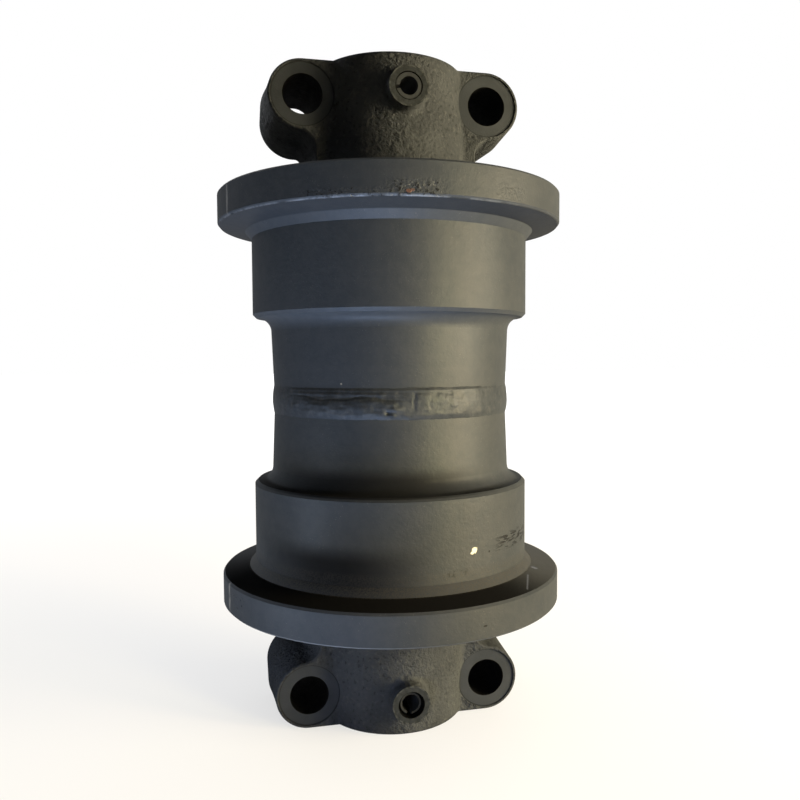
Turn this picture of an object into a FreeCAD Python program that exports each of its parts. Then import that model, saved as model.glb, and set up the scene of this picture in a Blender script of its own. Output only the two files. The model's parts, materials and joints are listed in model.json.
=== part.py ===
import FreeCAD, Part
import math
import os
from FreeCAD import Vector

# A bottom roller of a tracked excavator, standing on the end of one collar.
# Two forged halves, welded at the waist, make a spool with a flange at each end. The spool turns on a
# fixed axle, in two flanged bushings that bear on the axle's thrust flange. A pair of face seals closes
# each end. A cast collar with two bolt ears is pinned on each end of the axle.
# Lengths are in millimetres. Z is the axle's line, and the collars' bolt heads would face -Y.
# "Height" below means the distance from the roller's middle plane, and each end is the other one
# turned half round about the Y line through the middle.

# Spool
SHELL_HALF_LENGTH = 129.5
FLANGE_RADIUS = 110.0
FLANGE_RIM_WIDTH = 19.5
FLANGE_FACE_ANGLE = 10.5        # degrees by which a flange's inner face leans towards the tread
FLANGE_ROOT_BEVEL = 4.2
TREAD_RADIUS = 89.0
TREAD_INNER_EDGE = 54.2         # height where the tread ends and the waist begins
TREAD_EDGE_CHAMFER = 2.2
NECK_RADIUS_AT_MIDDLE = 75.7
NECK_TAPER = 2.0                # growth of the neck's radius from the middle to the shoulders
NECK_FILLET = 8.6
WELD_HALF_WIDTH = 8.4
WELD_CROWN = 1.2                # height of the weld's crown over the neck's smallest radius
TURNED_EDGE_CHAMFER = 1.2
OIL_CHAMBER_GAP = 3.5           # free space round the bushings' flanges

# Axle
JOURNAL_RADIUS = 35.0
SEAT_STEP = 2.5                 # how much smaller the collars' seats are than the journals, on the radius
AXLE_END_INSET = 3.0            # axle's end below the collar's end face
AXLE_END_CHAMFER = 2.0
THRUST_FLANGE_HEIGHT = 12.0     # over the journal
THRUST_FLANGE_HALF_WIDTH = 9.0
CENTRE_DRILL_RADIUS = 4.5
CENTRE_DRILL_DEPTH = 7.0

# Bushings
BUSHING_WALL = 5.0
BUSHING_FLANGE_THICKNESS = 6.0
BUSHING_FLANGE_OVERHANG = 0.5   # beyond the thrust flange
BUSHING_END_INSET = 21.0        # bushing's outer end to the floor of the seal's seat
BUSHING_END_CHAMFER = 1.0
OIL_GROOVE_RADIUS = 1.6
OIL_GROOVE_LAND = 5.0           # plain length left at a bushing's outer end
OIL_GROOVES = 3

# Clearances
RUNNING_CLEARANCE = 0.08        # bushing over journal, on the radius
THRUST_CLEARANCE = 0.3          # thrust flange to each bushing flange
SEAT_CLEARANCE = 0.02           # collar bore over axle seat, and lock pin in its hole, on the radius
SEAL_FILM = 0.05                # between the two lapped seal faces
SEAL_BORE_GAP = 3.2             # seal rings over the journal
LABYRINTH_GAP = 1.0             # collar's foot to the floor of the spool's end recess
LABYRINTH_SIDE_GAP = 2.0        # collar's foot to the wall of that recess
PLUG_THREAD_CLEARANCE = 0.02

# Face seals: depths run from the plane where the two lapped faces meet
SEAL_PLANE_INSET = 9.0          # that plane below the spool's end
SEAL_FACE_WIDTH = 11.0
SEAL_FACE_THICKNESS = 2.6
SEAL_RAMP_STEP = 2.6            # from the face's rim in to the ramp's top
SEAL_RAMP_TOP_DEPTH = 3.6
SEAL_RAMP_DROP = 3.4
SEAL_RAMP_FOOT_DEPTH = 12.4
SEAL_LIP_HEIGHT = 0.8
SEAL_LIP_THICKNESS = 1.2
SEAL_LENGTH = 14.2
SEAT_MOUTH_GAP = 5.2            # seal face's rim to the mouth of the toric's seat
SEAT_TAPER = 2.9
SEAT_FLOOR_DEPTH = 15.5
SEAT_FLOOR_CHAMFER = 2.0
TORIC_SECTION_RADIUS = 4.9
TORIC_DEPTH = 7.9

# Collar castings
FOOT_WALL = 4.0                 # round the mouth of the toric's seat
FOOT_HEIGHT = 9.0               # over the spool's end
FOOT_EDGE_ROUND = 1.5
FOOT_FILLET = 5.5
HUB_RADIUS_AT_FOOT = 51.0
HUB_RADIUS_AT_END = 47.6
HUB_END_ROUND = 3.5
BORE_CHAMFER = 1.5
MOUNTING_FACE_Y = 41.0          # machined face that bolts up to the track frame
MOUNTING_FACE_INSET = 2.0       # that face's lower edge over the foot
CAST_STOCK = 0.8                # cast skin left proud of the spot faces
PARTING_Y = 8.0
EAR_RADIUS_AT_FRONT = 21.0
EAR_DRAFT_TO_PARTING = 2.8
EAR_DRAFT_TO_REAR = 1.0
GUSSET_HALF_WIDTH_AT_FRONT = 50.8
GUSSET_DRAFT_TO_PARTING = 4.2
GUSSET_DRAFT_TO_REAR = 0.8
FRONT_EAR_FILLET = 11.5         # hollow between an ear's underside and its gusset
PARTING_EAR_FILLET = 7.0
REAR_EAR_FILLET = 3.5
HUB_WEB_FILLET = 4.5

# Bolts and lock pins
BOLT_RISE = 56.4                # bolt line over the spool's end
BOLT_OFFSET = 58.4              # bolt line to the axle's line, along X
BOLT_HOLE_RADIUS = 12.0
HUB_END_RISE = 22.1             # hub's end face over the bolt line
SPOT_FACE_RADIUS = 19.4
SPOT_FACE_Y = 25.7
PIN_DROP = 2.0                  # lock pin's line below the bolt line
PIN_RADIUS = 8.0
PIN_WALL = 2.6
PIN_FAR_END_INSET = 4.9         # upper pin's far end behind the mounting face
PIN_CHAMFER_LENGTH = 2.4
UPPER_PIN_END_CHAMFER = 0.4     # the upper pin's end was dressed flush with its boss
LOWER_PIN_END_CHAMFER = 1.6
UPPER_PIN_SLOT_WIDTH = 2.0
LOWER_PIN_SLOT_WIDTH = 3.2
UPPER_PIN_RECESS = 0.3
LOWER_PIN_RECESS = 3.0
UPPER_PIN_SLOT_ANGLE = 188.0    # degrees from +X towards +Z, seen from the front
LOWER_PIN_SLOT_ANGLE = 262.0
PIN_BOSS_WALL = 3.8
PIN_BOSS_DRAFT = 0.6            # growth of the boss's radius from its face to the hub
PIN_BOSS_HEIGHT = 9.9           # boss's face over the hub
PIN_BOSS_FILLET = 3.5

# Static rings between axle and collars
O_RING_RISE = 14.0              # over the floor of the toric's seat
O_RING_SECTION_RADIUS = 1.85
O_RING_GROOVE_DEPTH = 3.1
O_RING_GROOVE_WIDTH = 5.0

# Oil filling
OIL_HOLE_OFFSET = 19.0          # the long oil hole runs beside the lock pin
OIL_HOLE_RADIUS = 4.5
CROSS_HOLE_RADIUS = 3.5
PLUG_POCKET_RADIUS = 10.0
PLUG_POCKET_DEPTH = 7.0
PLUG_HEAD_RADIUS = 9.0
PLUG_HEAD_HEIGHT = 4.5
PLUG_SHANK_RADIUS = 6.0
PLUG_SHANK_LENGTH = 14.0
PLUG_SOCKET_FLATS = 8.0
PLUG_SOCKET_DEPTH = 8.0
PLUG_WASHER_THICKNESS = 1.5
PLUG_WASHER_RADIUS = 9.3

BEYOND = 5.0                    # how far a cutter runs past the face that it opens

# Heights worked out from the sizes above
SEAL_PLANE = SHELL_HALF_LENGTH - SEAL_PLANE_INSET
SHELL_RECESS_FLOOR = SEAL_PLANE - LABYRINTH_GAP / 2
FOOT_END = SEAL_PLANE + LABYRINTH_GAP / 2
SHELL_SEAT_FLOOR = SEAL_PLANE - SEAT_FLOOR_DEPTH
COLLAR_SEAT_FLOOR = SEAL_PLANE + SEAT_FLOOR_DEPTH
BUSHING_INNER_FACE = THRUST_FLANGE_HALF_WIDTH + THRUST_CLEARANCE
BUSHING_SHOULDER = BUSHING_INNER_FACE + BUSHING_FLANGE_THICKNESS
BUSHING_END = SHELL_SEAT_FLOOR - BUSHING_END_INSET
O_RING_HEIGHT = COLLAR_SEAT_FLOOR + O_RING_RISE
FOOT_TOP = SHELL_HALF_LENGTH + FOOT_HEIGHT
BOLT_HEIGHT = SHELL_HALF_LENGTH + BOLT_RISE
PIN_HEIGHT = BOLT_HEIGHT - PIN_DROP
COLLAR_END = BOLT_HEIGHT + HUB_END_RISE
AXLE_HALF_LENGTH = COLLAR_END - AXLE_END_INSET

# Radii worked out from the sizes above
SEAT_RADIUS = JOURNAL_RADIUS - SEAT_STEP
COLLAR_BORE_RADIUS = SEAT_RADIUS + SEAT_CLEARANCE
O_RING_GROOVE_FLOOR = SEAT_RADIUS - O_RING_GROOVE_DEPTH
BUSHING_BORE_RADIUS = JOURNAL_RADIUS + RUNNING_CLEARANCE
BUSHING_RADIUS = BUSHING_BORE_RADIUS + BUSHING_WALL
THRUST_FLANGE_RADIUS = JOURNAL_RADIUS + THRUST_FLANGE_HEIGHT
BUSHING_FLANGE_RADIUS = THRUST_FLANGE_RADIUS + BUSHING_FLANGE_OVERHANG
OIL_CHAMBER_RADIUS = BUSHING_FLANGE_RADIUS + OIL_CHAMBER_GAP
SEAL_BORE_RADIUS = JOURNAL_RADIUS + SEAL_BORE_GAP
SEAL_FACE_RADIUS = SEAL_BORE_RADIUS + SEAL_FACE_WIDTH
SEAL_RAMP_TOP_RADIUS = SEAL_FACE_RADIUS - SEAL_RAMP_STEP
SEAL_RAMP_FOOT_RADIUS = SEAL_RAMP_TOP_RADIUS - SEAL_RAMP_DROP
SEAL_LIP_RADIUS = SEAL_RAMP_FOOT_RADIUS + SEAL_LIP_HEIGHT
SEAT_MOUTH_RADIUS = SEAL_FACE_RADIUS + SEAT_MOUTH_GAP
SEAT_FLOOR_RADIUS = SEAT_MOUTH_RADIUS - SEAT_TAPER
FOOT_RADIUS = SEAT_MOUTH_RADIUS + FOOT_WALL
RECESS_RADIUS = FOOT_RADIUS + LABYRINTH_SIDE_GAP
NECK_RADIUS_AT_SHOULDER = NECK_RADIUS_AT_MIDDLE + NECK_TAPER
EAR_RADIUS_AT_PARTING = EAR_RADIUS_AT_FRONT + EAR_DRAFT_TO_PARTING
EAR_RADIUS_AT_REAR = EAR_RADIUS_AT_PARTING - EAR_DRAFT_TO_REAR
PIN_BORE_RADIUS = PIN_RADIUS - PIN_WALL
PIN_HOLE_RADIUS = PIN_RADIUS + SEAT_CLEARANCE
PIN_BOSS_RADIUS = PIN_RADIUS + PIN_BOSS_WALL

# Depths along Y worked out from the sizes above
EAR_FRONT_Y = SPOT_FACE_Y + CAST_STOCK
HUB_RADIUS_AT_PIN = HUB_RADIUS_AT_END + (HUB_RADIUS_AT_FOOT - HUB_RADIUS_AT_END) * (
    (COLLAR_END - PIN_HEIGHT) / (COLLAR_END - FOOT_TOP)
)
PIN_BOSS_FACE_Y = HUB_RADIUS_AT_PIN + PIN_BOSS_HEIGHT
PIN_LENGTH = PIN_BOSS_FACE_Y + MOUNTING_FACE_Y - UPPER_PIN_RECESS - PIN_FAR_END_INSET

Z_LINE = Vector(0, 0, 1)
ORIGIN = Vector(0, 0, 0)
WHOLE_SIDE = 0.96               # share of a profile's side that one blend may take
SHARED_SIDE = 0.48              # the same where another blend starts from the side's other end


def sharp(r, z):
    """A corner of a profile, left sharp."""
    return (r, z, "sharp", 0.0)


def rounded(r, z, radius):
    """A corner of a profile, blended by an arc of that radius."""
    return (r, z, "round", radius)


def bevelled(r, z, leg):
    """A corner of a profile, cut back by leg along each side."""
    return (r, z, "bevel", leg)


def blend_ends(corners, i):
    """The two points where a corner's blend leaves its sides, kept within the sides' lengths."""
    r, z, kind, size = corners[i]
    here = Vector(r, 0, z)
    sides = []
    room = []
    for other in (corners[i - 1], corners[(i + 1) % len(corners)]):
        side = Vector(other[0], 0, other[1]) - here
        share = WHOLE_SIDE if other[2] == "sharp" else SHARED_SIDE
        room.append(share * side.Length)
        sides.append(side)
    half_angle = sides[0].getAngle(sides[1]) / 2
    leg = size / math.tan(half_angle) if kind == "round" else size
    leg = min(leg, *room)
    return here + sides[0].normalize() * leg, here + sides[1].normalize() * leg


def profile_wire(corners):
    """A closed wire in the XZ plane through the corners, with their arcs and bevels."""
    ends = []
    for i, (r, z, kind, _) in enumerate(corners):
        point = Vector(r, 0, z)
        ends.append((point, point) if kind == "sharp" else blend_ends(corners, i))
    edges = []
    for i, (r, z, kind, _) in enumerate(corners):
        start, end = ends[i]
        if kind == "bevel":
            edges.append(Part.makeLine(start, end))
        if kind == "round":
            edges.append(tangent_arc(start, Vector(r, 0, z), end))
        edges.append(Part.makeLine(end, ends[(i + 1) % len(corners)][0]))
    return Part.Wire(edges)


def tangent_arc(start, corner, end):
    """The arc from start to end that is tangent to both sides of the corner between them."""
    middle = (start + end) * 0.5
    half_chord = (end - start).Length / 2
    height = (corner - middle).Length
    side = math.hypot(half_chord, height)
    rise = half_chord * (side - half_chord) / height
    top = middle + (corner - middle).normalize() * rise
    return Part.Arc(start, top, end).toShape()


def revolved(corners):
    """A solid of revolution about Z from profile corners."""
    return Part.Face(profile_wire(corners)).revolve(ORIGIN, Z_LINE, 360)


def cylinder_along_y(radius, x, z, y_start, y_end):
    """A round bar parallel to Y."""
    return Part.makeCylinder(radius, y_end - y_start, Vector(x, y_start, z), Vector(0, 1, 0))


def upper(shape):
    """Lifts a piece, modelled about the middle plane, so that the roller stands on its lower end."""
    placed = shape.copy()
    placed.translate(Vector(0, 0, COLLAR_END))
    return placed


def lower(shape):
    """The same piece for the lower end: turned half round about Y, then lifted."""
    turned = shape.copy()
    turned.rotate(ORIGIN, Vector(0, 1, 0), 180)
    return upper(turned)


def seat_corners(direction):
    """Mouth and floor of the conical seat that holds a toric; direction is -1 in the spool, 1 in a collar."""
    mouth = SEAL_PLANE + direction * LABYRINTH_GAP / 2
    floor = SEAL_PLANE + direction * SEAT_FLOOR_DEPTH
    return [
        sharp(SEAT_MOUTH_RADIUS, mouth),
        bevelled(SEAT_FLOOR_RADIUS, floor, SEAT_FLOOR_CHAMFER),
    ]


def shell_half_profile():
    """Corners of the spool's upper half, from the neck's middle round to the oil chamber."""
    flange_inner = SHELL_HALF_LENGTH - FLANGE_RIM_WIDTH
    lean = (FLANGE_RADIUS - TREAD_RADIUS) * math.tan(math.radians(FLANGE_FACE_ANGLE))
    neck_face = TREAD_INNER_EDGE - TREAD_EDGE_CHAMFER
    return [
        sharp(NECK_RADIUS_AT_MIDDLE, 0),
        rounded(NECK_RADIUS_AT_SHOULDER, neck_face, NECK_FILLET),
        sharp(TREAD_RADIUS - TREAD_EDGE_CHAMFER, neck_face),
        sharp(TREAD_RADIUS, TREAD_INNER_EDGE),
        bevelled(TREAD_RADIUS, flange_inner - lean, FLANGE_ROOT_BEVEL),
        bevelled(FLANGE_RADIUS, flange_inner, TURNED_EDGE_CHAMFER),
        bevelled(FLANGE_RADIUS, SHELL_HALF_LENGTH, TURNED_EDGE_CHAMFER),
        bevelled(RECESS_RADIUS, SHELL_HALF_LENGTH, TURNED_EDGE_CHAMFER),
        sharp(RECESS_RADIUS, SHELL_RECESS_FLOOR),
        *seat_corners(-1),
        bevelled(BUSHING_RADIUS, SHELL_SEAT_FLOOR, TURNED_EDGE_CHAMFER),
        sharp(BUSHING_RADIUS, BUSHING_SHOULDER),
        sharp(OIL_CHAMBER_RADIUS, BUSHING_SHOULDER),
    ]


def weld_band():
    """The crowned weld round the neck where the two forged halves meet."""
    slope = (NECK_RADIUS_AT_SHOULDER - NECK_RADIUS_AT_MIDDLE) / (TREAD_INNER_EDGE - TREAD_EDGE_CHAMFER)
    toe = NECK_RADIUS_AT_MIDDLE + slope * WELD_HALF_WIDTH
    root = (NECK_RADIUS_AT_MIDDLE + OIL_CHAMBER_RADIUS) / 2
    crown = Part.Arc(
        Vector(toe, 0, -WELD_HALF_WIDTH),
        Vector(NECK_RADIUS_AT_MIDDLE + WELD_CROWN, 0, 0),
        Vector(toe, 0, WELD_HALF_WIDTH),
    ).toShape()
    below = Part.makePolygon([
        Vector(toe, 0, WELD_HALF_WIDTH),
        Vector(root, 0, WELD_HALF_WIDTH),
        Vector(root, 0, -WELD_HALF_WIDTH),
        Vector(toe, 0, -WELD_HALF_WIDTH),
    ])
    return Part.Face(Part.Wire([crown, *below.Edges])).revolve(ORIGIN, Z_LINE, 360)


def roller_shell():
    """The spool: both forged halves and their weld, one piece since it was welded."""
    half = shell_half_profile()
    other_half = [(r, -z, kind, size) for r, z, kind, size in reversed(half[1:])]
    spool = revolved(half + other_half)
    return spool.fuse(weld_band()).removeSplitter()


def axle():
    """The fixed axle: thrust flange, journals, collar seats, ring grooves, pin holes and oil ways."""
    groove_low = O_RING_HEIGHT - O_RING_GROOVE_WIDTH / 2
    groove_high = O_RING_HEIGHT + O_RING_GROOVE_WIDTH / 2
    half = [
        bevelled(THRUST_FLANGE_RADIUS, THRUST_FLANGE_HALF_WIDTH, TURNED_EDGE_CHAMFER),
        sharp(JOURNAL_RADIUS, THRUST_FLANGE_HALF_WIDTH),
        bevelled(JOURNAL_RADIUS, COLLAR_SEAT_FLOOR, TURNED_EDGE_CHAMFER),
        sharp(SEAT_RADIUS, COLLAR_SEAT_FLOOR),
        sharp(SEAT_RADIUS, groove_low),
        sharp(O_RING_GROOVE_FLOOR, groove_low),
        sharp(O_RING_GROOVE_FLOOR, groove_high),
        sharp(SEAT_RADIUS, groove_high),
        bevelled(SEAT_RADIUS, AXLE_HALF_LENGTH, AXLE_END_CHAMFER),
        sharp(CENTRE_DRILL_RADIUS, AXLE_HALF_LENGTH),
        sharp(0, AXLE_HALF_LENGTH - CENTRE_DRILL_DEPTH),
    ]
    other_half = [(r, -z, kind, size) for r, z, kind, size in reversed(half)]
    bar = revolved(half + other_half)
    pin_holes = [
        cylinder_along_y(PIN_HOLE_RADIUS, 0, end * PIN_HEIGHT, -JOURNAL_RADIUS, JOURNAL_RADIUS)
        for end in (1, -1)
    ]
    return bar.cut(pin_holes + oil_ways())


def oil_ways():
    """Cutters for the long oil hole, its cross hole to the thrust flange, and the filler plug's pocket."""
    long_hole = Part.makeCylinder(OIL_HOLE_RADIUS, AXLE_HALF_LENGTH, Vector(OIL_HOLE_OFFSET, 0, 0))
    cross_hole = Part.makeCylinder(
        CROSS_HOLE_RADIUS,
        THRUST_FLANGE_RADIUS - OIL_HOLE_OFFSET + BEYOND,
        Vector(OIL_HOLE_OFFSET, 0, 0),
        Vector(1, 0, 0),
    )
    pocket_floor = AXLE_HALF_LENGTH - PLUG_POCKET_DEPTH
    pocket = Part.makeCylinder(
        PLUG_POCKET_RADIUS, PLUG_POCKET_DEPTH + BEYOND, Vector(OIL_HOLE_OFFSET, 0, pocket_floor)
    )
    thread = Part.makeCylinder(
        PLUG_SHANK_RADIUS + PLUG_THREAD_CLEARANCE,
        PLUG_SHANK_LENGTH,
        Vector(OIL_HOLE_OFFSET, 0, pocket_floor - PLUG_SHANK_LENGTH),
    )
    return [long_hole, cross_hole, pocket, thread]


def bushing():
    """A flanged bushing with oil grooves along its bore."""
    sleeve = revolved([
        sharp(BUSHING_BORE_RADIUS, BUSHING_INNER_FACE),
        sharp(BUSHING_FLANGE_RADIUS, BUSHING_INNER_FACE),
        sharp(BUSHING_FLANGE_RADIUS, BUSHING_SHOULDER),
        sharp(BUSHING_RADIUS, BUSHING_SHOULDER),
        bevelled(BUSHING_RADIUS, BUSHING_END, BUSHING_END_CHAMFER),
        bevelled(BUSHING_BORE_RADIUS, BUSHING_END, BUSHING_END_CHAMFER),
    ])
    grooves = []
    for i in range(OIL_GROOVES):
        angle = 2 * math.pi * i / OIL_GROOVES
        foot = Vector(
            BUSHING_BORE_RADIUS * math.cos(angle),
            BUSHING_BORE_RADIUS * math.sin(angle),
            BUSHING_INNER_FACE - BEYOND,
        )
        length = BUSHING_END - OIL_GROOVE_LAND - BUSHING_INNER_FACE + BEYOND
        grooves.append(Part.makeCylinder(OIL_GROOVE_RADIUS, length, foot))
    return sleeve.cut(grooves)


def seal_ring_corners(direction):
    """Section of a seal ring; its lapped face is at the seal plane."""
    face = SEAL_PLANE + direction * SEAL_FILM / 2

    def at(depth):
        return SEAL_PLANE + direction * depth

    return [
        sharp(SEAL_BORE_RADIUS, face),
        sharp(SEAL_FACE_RADIUS, face),
        sharp(SEAL_FACE_RADIUS, at(SEAL_FACE_THICKNESS)),
        sharp(SEAL_RAMP_TOP_RADIUS, at(SEAL_RAMP_TOP_DEPTH)),
        sharp(SEAL_RAMP_FOOT_RADIUS, at(SEAL_RAMP_FOOT_DEPTH)),
        sharp(SEAL_LIP_RADIUS, at(SEAL_LENGTH - SEAL_LIP_THICKNESS)),
        sharp(SEAL_LIP_RADIUS, at(SEAL_LENGTH)),
        sharp(SEAL_BORE_RADIUS, at(SEAL_LENGTH)),
    ]


def toric(direction):
    """A rubber toric, flattened between the seal ring's ramp and the ramp of its seat."""
    mouth, floor = seat_corners(direction)
    depth = SEAL_PLANE + direction * TORIC_DEPTH
    ramp_share = (TORIC_DEPTH - SEAL_RAMP_TOP_DEPTH) / (SEAL_RAMP_FOOT_DEPTH - SEAL_RAMP_TOP_DEPTH)
    ring_side = SEAL_RAMP_TOP_RADIUS + ramp_share * (SEAL_RAMP_FOOT_RADIUS - SEAL_RAMP_TOP_RADIUS)
    seat_share = (TORIC_DEPTH - LABYRINTH_GAP / 2) / (SEAT_FLOOR_DEPTH - LABYRINTH_GAP / 2)
    seat_side = SEAT_MOUTH_RADIUS + seat_share * (SEAT_FLOOR_RADIUS - SEAT_MOUTH_RADIUS)
    centre = Vector((ring_side + seat_side) / 2, 0, depth)
    section = Part.Face(Part.Wire(Part.makeCircle(TORIC_SECTION_RADIUS, centre, Vector(0, 1, 0))))
    ring_section = Part.Face(profile_wire(seal_ring_corners(direction)))
    wall = Part.Face(profile_wire([
        sharp(mouth[0], mouth[1]),
        sharp(floor[0], floor[1]),
        sharp(SEAT_MOUTH_RADIUS + TORIC_SECTION_RADIUS, floor[1]),
        sharp(SEAT_MOUTH_RADIUS + TORIC_SECTION_RADIUS, mouth[1]),
    ]))
    squeezed = section.cut([ring_section, wall]).Faces[0]
    return squeezed.revolve(ORIGIN, Z_LINE, 360)


def o_ring():
    """The static ring in the axle's groove, flattened between groove floor and collar bore."""
    centre = Vector((O_RING_GROOVE_FLOOR + COLLAR_BORE_RADIUS) / 2, 0, O_RING_HEIGHT)
    section = Part.Face(Part.Wire(Part.makeCircle(O_RING_SECTION_RADIUS, centre, Vector(0, 1, 0))))
    low = O_RING_HEIGHT - O_RING_SECTION_RADIUS
    high = O_RING_HEIGHT + O_RING_SECTION_RADIUS
    gap = Part.Face(profile_wire([
        sharp(O_RING_GROOVE_FLOOR, low),
        sharp(COLLAR_BORE_RADIUS, low),
        sharp(COLLAR_BORE_RADIUS, high),
        sharp(O_RING_GROOVE_FLOOR, high),
    ]))
    return section.common(gap).Faces[0].revolve(ORIGIN, Z_LINE, 360)


def hub_radius(height):
    """Radius of a collar's tapered hub at that height."""
    share = (height - FOOT_TOP) / (COLLAR_END - FOOT_TOP)
    return HUB_RADIUS_AT_FOOT + share * (HUB_RADIUS_AT_END - HUB_RADIUS_AT_FOOT)


def collar_hub():
    """The collar's round parts: tapered hub, and the foot that houses the outer half of a face seal."""
    return revolved([
        sharp(0, FOOT_END),
        sharp(FOOT_RADIUS, FOOT_END),
        sharp(FOOT_RADIUS, FOOT_TOP),
        rounded(HUB_RADIUS_AT_FOOT, FOOT_TOP, FOOT_FILLET),
        rounded(HUB_RADIUS_AT_END, COLLAR_END, HUB_END_ROUND),
        sharp(0, COLLAR_END),
    ])


def ear_outline(y, ear_radius, gusset, fillet, top_cut=0.0):
    """Outline, at one y, of both ears with the gussets that join them to the hub.

    The ears' outer side is flat, at the front's radius less top_cut above the bolt line."""
    top_rise = EAR_RADIUS_AT_FRONT - top_cut
    fillet_x = gusset + fillet
    reach = ear_radius + fillet
    fillet_z = BOLT_HEIGHT - math.sqrt(reach ** 2 - (fillet_x - BOLT_OFFSET) ** 2)
    top_angle = math.asin(top_rise / ear_radius)
    low_angle = math.atan2(fillet_z - BOLT_HEIGHT, fillet_x - BOLT_OFFSET)
    mid_angle = (top_angle + low_angle) / 2
    fillet_mid = (low_angle + math.pi + math.pi) / 2

    def on_ear(angle):
        return (BOLT_OFFSET + ear_radius * math.cos(angle), BOLT_HEIGHT + ear_radius * math.sin(angle))

    def on_fillet(angle):
        return (fillet_x + fillet * math.cos(angle), fillet_z + fillet * math.sin(angle))

    def right(point):
        return Vector(point[0], y, point[1])

    def left(point):
        return Vector(-point[0], y, point[1])

    top, side, low = on_ear(top_angle), on_ear(mid_angle), on_ear(low_angle)
    hollow = on_fillet(fillet_mid)
    wall = (gusset, fillet_z)
    foot = (gusset, FOOT_TOP)
    return Part.Wire([
        Part.makeLine(left(top), right(top)),
        Part.Arc(right(top), right(side), right(low)).toShape(),
        Part.Arc(right(low), right(hollow), right(wall)).toShape(),
        Part.makeLine(right(wall), right(foot)),
        Part.makeLine(right(foot), left(foot)),
        Part.makeLine(left(foot), left(wall)),
        Part.Arc(left(wall), left(hollow), left(low)).toShape(),
        Part.Arc(left(low), left(side), left(top)).toShape(),
    ])


def collar_ears():
    """Both ears: drafted either way from the mould's parting plane, with a bevelled front edge."""
    ear, gusset, fillet = EAR_RADIUS_AT_FRONT, GUSSET_HALF_WIDTH_AT_FRONT, FRONT_EAR_FILLET
    wide_gusset = gusset + GUSSET_DRAFT_TO_PARTING
    rear_gusset = wide_gusset - GUSSET_DRAFT_TO_REAR
    return Part.makeLoft([
        ear_outline(-EAR_FRONT_Y, ear - CAST_STOCK, gusset - CAST_STOCK, fillet, CAST_STOCK),
        ear_outline(-SPOT_FACE_Y, ear, gusset, fillet),
        ear_outline(PARTING_Y, EAR_RADIUS_AT_PARTING, wide_gusset, PARTING_EAR_FILLET),
        ear_outline(MOUNTING_FACE_Y, EAR_RADIUS_AT_REAR, rear_gusset, REAR_EAR_FILLET),
    ], True, True)


def web_fillet_section(side, height):
    """Section, at one height, of the fillet between the hub and an ear's front."""
    radius = hub_radius(height)
    centre_y = EAR_FRONT_Y + HUB_WEB_FILLET
    centre_x = math.sqrt((radius + HUB_WEB_FILLET) ** 2 - centre_y ** 2)
    on_hub = radius / (radius + HUB_WEB_FILLET)
    towards_hub = Vector(-centre_x, centre_y, 0).normalize()
    bisector = (towards_hub + Vector(0, 1, 0)).normalize() * HUB_WEB_FILLET
    hub_end = Vector(side * centre_x * on_hub, -centre_y * on_hub, height)
    face_end = Vector(side * centre_x, -EAR_FRONT_Y, height)
    hollow = Vector(side * (centre_x + bisector.x), -centre_y + bisector.y, height)
    inside = Vector(side * centre_x * on_hub / 2, -SPOT_FACE_Y / 2, height)
    return Part.Wire([
        Part.Arc(hub_end, hollow, face_end).toShape(),
        Part.makeLine(face_end, inside),
        Part.makeLine(inside, hub_end),
    ])


def web_fillet(side):
    """The fillet between the hub and one ear's front, tapering with the hub."""
    low = FOOT_TOP
    high = BOLT_HEIGHT + EAR_RADIUS_AT_FRONT - CAST_STOCK
    return Part.makeLoft([web_fillet_section(side, low), web_fillet_section(side, high)], True, True)


def hub_with_pin_boss():
    """The hub with the boss round the lock pin's mouth, blended into it by a fillet."""
    slope = PIN_BOSS_DRAFT / PIN_BOSS_HEIGHT
    inner_radius = PIN_BOSS_RADIUS + slope * PIN_BOSS_FACE_Y
    boss = Part.makeCone(
        inner_radius, PIN_BOSS_RADIUS, PIN_BOSS_FACE_Y, Vector(0, 0, PIN_HEIGHT), Vector(0, -1, 0)
    )
    joined = collar_hub().fuse(boss)
    roots = [edge for edge in joined.Edges if is_boss_root(edge)]
    return joined.makeFillet(PIN_BOSS_FILLET, roots)


def is_boss_root(edge):
    """Whether an edge is part of the line where the pin boss meets the hub."""
    for point in edge.discretize(8):
        off_line = math.hypot(point.x, point.z - PIN_HEIGHT)
        if point.y > -PIN_BOSS_RADIUS or off_line > PIN_BOSS_RADIUS + PIN_BOSS_FILLET:
            return False
    return edge.BoundBox.YMin > PIN_BOSS_HEIGHT / 2 - PIN_BOSS_FACE_Y


def collar_bore():
    """What is bored out of a collar from both ends: the axle's seat and the toric's seat."""
    mouth, floor = seat_corners(1)
    return revolved([
        sharp(0, FOOT_END - BEYOND),
        sharp(SEAT_MOUTH_RADIUS, FOOT_END - BEYOND),
        mouth,
        floor,
        sharp(COLLAR_BORE_RADIUS, COLLAR_SEAT_FLOOR),
        sharp(COLLAR_BORE_RADIUS, COLLAR_END - BORE_CHAMFER),
        sharp(COLLAR_BORE_RADIUS + BORE_CHAMFER + BEYOND, COLLAR_END + BEYOND),
        sharp(0, COLLAR_END + BEYOND),
    ])


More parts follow.
